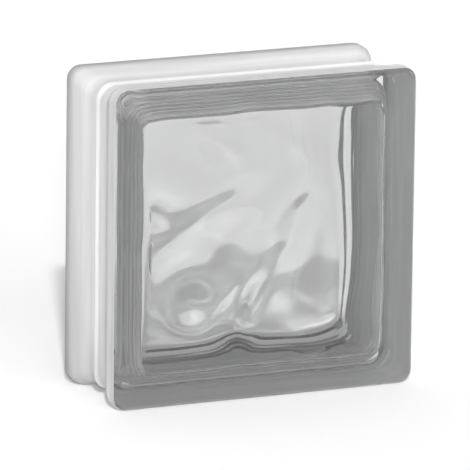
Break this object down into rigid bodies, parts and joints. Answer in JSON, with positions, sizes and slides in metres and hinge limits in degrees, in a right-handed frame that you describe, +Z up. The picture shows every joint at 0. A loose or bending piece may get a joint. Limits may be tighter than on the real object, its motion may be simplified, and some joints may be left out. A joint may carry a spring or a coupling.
{
  "type": "glass block",
  "caption": "Hollow square glass block with waved inner faces, clear rims and a recessed mortar channel round its edge, for building light-passing walls.",
  "frame": {"origin": "middle of the footprint, on the floor plane under the lower rims", "axes": "+X along the width, +Y through the thickness from the front face to the back face, +Z up the height"},
  "size_m": [0.19, 0.08, 0.19],
  "materials": {
    "glass": "clear fire-polished",
    "edge_coating": "brushed white coating"
  },
  "bodies": {
    "root": {"glass_block": "glass"}
  },
  "joints": []
}
